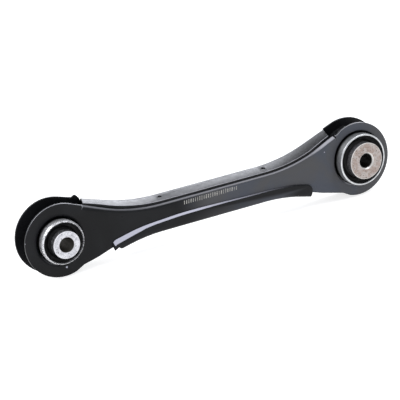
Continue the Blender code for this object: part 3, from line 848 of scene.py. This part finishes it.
def rubbers(side):
    """The rubber between can, middle ring and sleeve, at both ends of the bush."""
    can_in = reach(f"{side}_bush_can", side)[0]
    ring_in, ring_out, ring_half = reach(f"{side}_middle_ring", side)
    top = reach(f"{side}_outer_rubber", side)[2]
    body_r, shoulder = waist(side)
    floor_out = ring_half + RUBBER_OVER_RING
    half_way = (can_in + ring_out) / 2
    middle = (top + floor_out) / 2
    foot = shoulder - SLEEVE_TAPER
    gap, roll_in, roll_down = RUBBER_ROLL
    dish_in, dish_rise = RUBBER_DISH
    foot_out, foot_in = RUBBER_FOOT
    at_can = [(can_in - gap, top), (can_in - roll_in, top - roll_down), (half_way, middle)]
    over_ring = [(half_way, middle), (ring_out, floor_out + RUBBER_RING_RISE), (ring_in, floor_out)]
    at_sleeve = [
        (ring_in, floor_out),
        (ring_in - dish_in * (ring_in - body_r), floor_out + dish_rise),
        (body_r + foot_out, foot - foot_in),
        (body_r + RUBBER_LAP, foot),
    ]
    for face, label in ((-1, "front"), (1, "rear")):
        front = face < 0
        rubber_ring(f"{side}_{label}_rubber_at_can", side, face, at_can,
                    (top, middle), f"{side}_outer_rubber" if front else None)
        rubber_ring(f"{side}_{label}_rubber_over_ring", side, face, over_ring,
                    (middle, floor_out))
        rubber_ring(f"{side}_{label}_rubber_at_sleeve", side, face, at_sleeve,
                    (floor_out, foot),
                    f"{side}_inner_rubber" if front else None)


def plug_button(side):
    """A plug weld's crown with a lumpy surface."""
    node = f"plug_weld_{side}"
    obj = joined_copy(node, f"{node}_crown")
    finer = obj.modifiers.new("finer", "SUBSURF")
    finer.subdivision_type = "SIMPLE"
    finer.levels = finer.render_levels = WELD_CUTS
    settle(obj, WELD)
    low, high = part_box(node)
    middle = (low + high) / 2
    radius = (high.x - low.x) / 2
    draw = random.Random(len(side))
    spans = ((0, 2 * math.pi), DENT_OUT, DENT_SIZE)
    dents = [[draw.uniform(*span) for span in spans] for _ in range(DENTS)]
    for vertex in obj.data.vertices:
        offset = vertex.co - middle
        if offset.z < 0:
            continue
        for angle, out, size in dents:
            x = offset.x - radius * out * math.cos(angle)
            y = offset.y - radius * out * math.sin(angle)
            away = math.hypot(x, y) / (DENT_WIDTH * radius)
            vertex.co.z -= DENT_DEPTH * size * math.exp(-away ** 2)
    outward(obj.data)
    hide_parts(node)
    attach(obj, "arm")


def tick_tree():
    """Geometry nodes that stand a row of short printed ticks along a straight line on the wall."""
    sockets, wires, inlet = new_shape(
        "printed_ticks", "Ticks",
        Wall="Geometry", Start="Vector", End="Vector", Ticks="Int", Height="Float", Width="Float",
        Thickness="Float", Lean="Vector", Seed="Int", Ink="Material")
    row = wires.node("GeometryNodeMeshLine", mode="END_POINTS")
    wires.feed_all(row.inputs, Count=inlet["Ticks"], Start_Location=inlet["Start"], Offset=inlet["End"])
    block = wires.node("GeometryNodeMeshCube")
    wires.feed(block.inputs["Size"], wires.join(inlet["Width"], inlet["Thickness"], inlet["Height"]))
    tall = wires.node("FunctionNodeRandomValue", data_type="FLOAT_VECTOR")
    wires.feed_all(tall.inputs, Min=TICK_SCALE[0], Max=TICK_SCALE[1], Seed=inlet["Seed"])
    copies = wires.node("GeometryNodeInstanceOnPoints")
    wires.feed_all(
        copies.inputs,
        Points=row.outputs[0],
        Instance=block.outputs[0],
        Rotation=inlet["Lean"],
        Scale=tall.outputs[0],
    )
    send_out(wires, copies.outputs[0], inlet["Ink"])
    return wires.tree, sockets


def printed_marks():
    """A row of plain ticks where the maker prints a code."""
    wall = min(v.co.y for v in frame["nodes"]["front_shell"].data.vertices)
    start, end = (ARM @ Vector((x, wall - TICK_SINK, z)) for x, z in zip(TICK_ROW_X, TICK_ROW_Z))
    lean = (0.0, TICK_LEAN - math.atan2(ALONG.z, ALONG.x), 0.0)
    row = {"Start": start, "End": end, "Ticks": TICKS, "Lean": lean, "Seed": TICK_SEED, "Ink": INK}
    obj = grow("printed_ticks", [], *tick_tree(), row | TICK_SIZE, INK)
    outward(obj.data, smooth=False)
    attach(obj, "arm")


# ---- Assembly ----------------------------------------------------------------------------------

pressing("front_shell", "front_pressing")
pressing("rear_shell", "rear_pressing")
for eye_side in SIDES:
    bush_can(eye_side)
    inner_sleeve(eye_side)
    rubbers(eye_side)
    plug_button(eye_side)
    paint(frame["nodes"][f"{eye_side}_middle_ring"].data, RING_STEEL)
printed_marks()


# ---- Studio ------------------------------------------------------------------------------------


def floor():
    shape = bmesh.new()
    bmesh.ops.create_circle(shape, cap_ends=True, segments=96, radius=FLOOR_RADIUS)
    mesh = bpy.data.meshes.new("floor")
    shape.to_mesh(mesh)
    shape.free()
    mesh.materials.append(studio_floor())
    new_object("floor", mesh)


def softbox(name, direction, distance, size, radiance, colour):
    """A rectangular area light that faces the arm's middle, from a direction on the arm's axes."""
    light = bpy.data.lights.new(name, "AREA")
    light.shape = "RECTANGLE"
    light.size, light.size_y = size
    light.energy = math.pi * size[0] * size[1] * radiance
    light.color = colour
    lamp = new_object(name, light)
    middle = (EYE["inboard"] + EYE["outboard"]) / 2
    aim = (ARM.to_3x3() @ Vector(direction)).normalized()
    lamp.location = middle + aim * distance
    lamp.rotation_euler = aim.to_track_quat("Z", "Y").to_euler()
    lamp.visible_camera = False


def studio():
    floor()
    world = bpy.data.worlds.new("studio")
    world.use_nodes = True
    sky = world.node_tree.nodes["Background"]
    sky.inputs["Color"].default_value = (*SKY_COLOUR, 1.0)
    sky.inputs["Strength"].default_value = SKY_STRENGTH
    bpy.context.scene.world = world
    for name, settings in SOFTBOXES.items():
        softbox(name, *settings)
    bpy.context.scene.view_settings.view_transform = "Standard"


def camera():
    lens = bpy.data.cameras.new("camera")
    lens.lens = LENS
    lens.sensor_width = SENSOR
    eye = new_object("camera", lens)
    axes = Matrix((CAMERA_RIGHT, CAMERA_UP, -CAMERA_AHEAD)).transposed().to_4x4()
    axes.translation = CAMERA_AT
    eye.matrix_world = ARM @ axes
    bpy.context.scene.camera = eye


studio()
camera()
